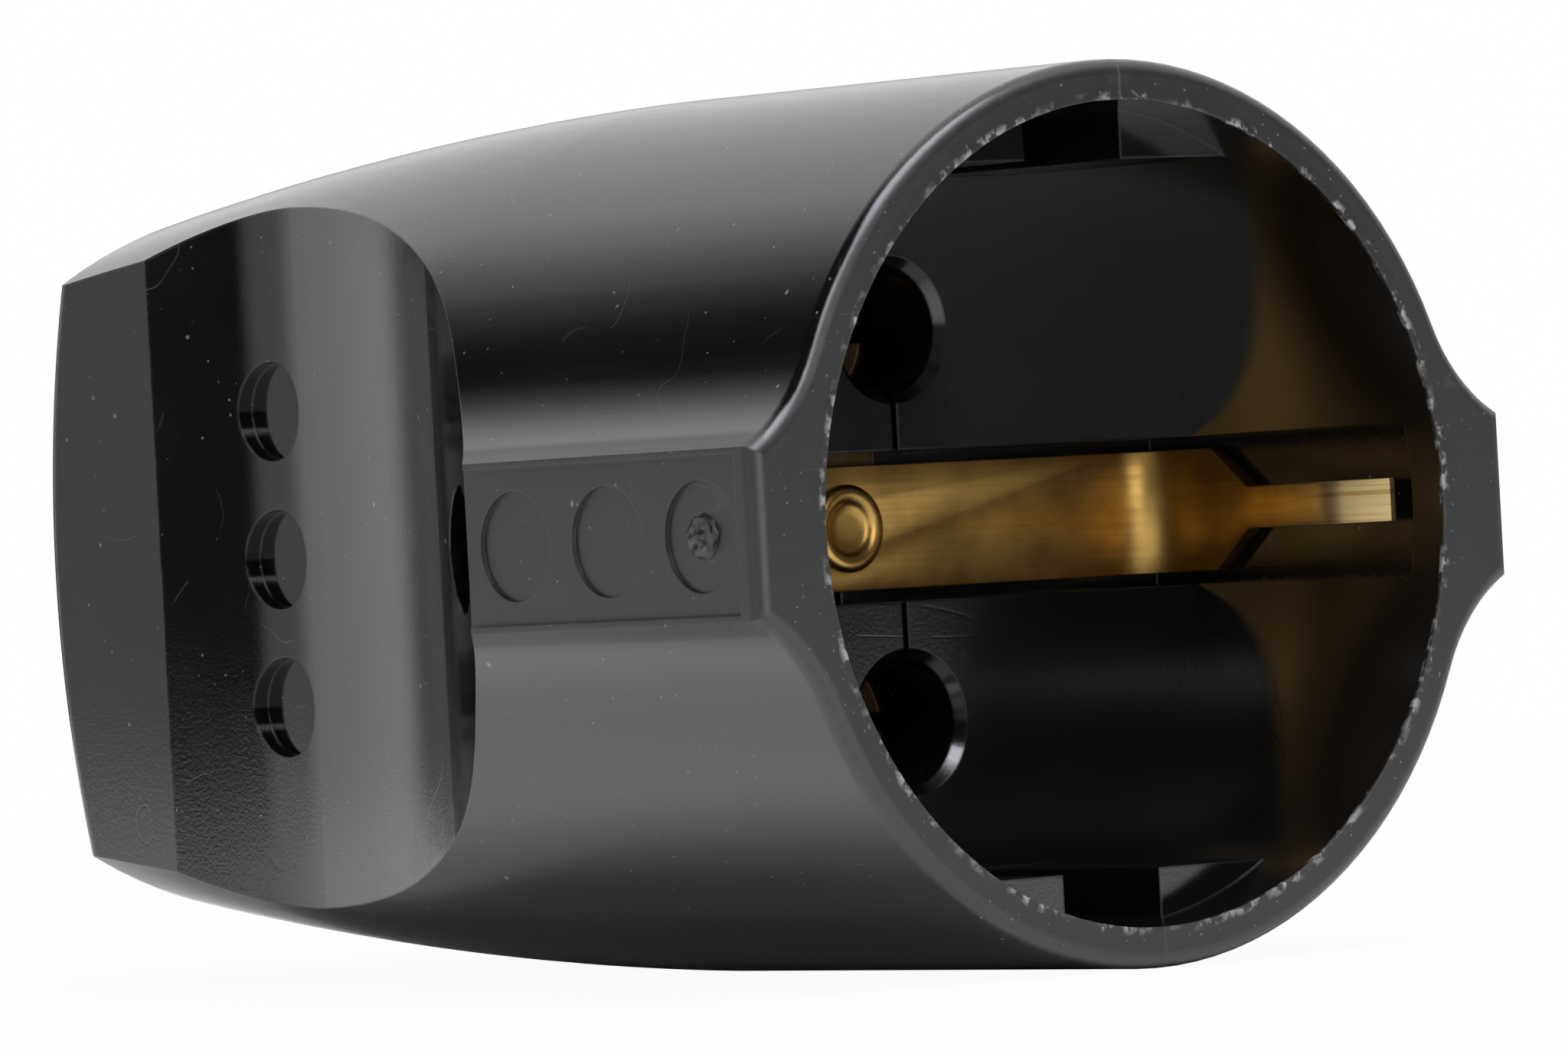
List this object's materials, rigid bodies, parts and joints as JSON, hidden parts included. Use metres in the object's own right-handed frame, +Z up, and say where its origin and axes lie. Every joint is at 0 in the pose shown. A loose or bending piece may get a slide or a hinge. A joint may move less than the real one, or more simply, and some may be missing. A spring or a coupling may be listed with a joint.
{
  "type": "inline socket connector",
  "caption": "Rewirable inline mains socket with a round recessed mouth, ears, finger scoops, a split moulded housing, brass pin contacts and a sprung earth strip.",
  "frame": {"origin": "under the middle of the part, on the surface it lies on", "axes": "+X along the socket axis out of the mouth, +Z up along the line of the pin holes, +Y towards the nut side of the housing"},
  "size_m": [0.0704, 0.0474, 0.0429],
  "materials": {
    "housing": "semi-gloss black moulding",
    "brass": "bright rolled brass",
    "steel": "bright zinc plating"
  },
  "bodies": {
    "root": {"screw_side_shell": "housing", "nut_side_shell": "housing", "earth_strip": "brass", "earth_rivet": "brass", "earth_tab": "brass", "earth_terminal": "brass", "line_contact": "brass", "neutral_contact": "brass", "terminal_screws": "steel", "cord_clamp": "steel", "cord_clamp_screws": "steel", "shell_screw": "steel", "shell_nut": "steel"}
  },
  "joints": []
}
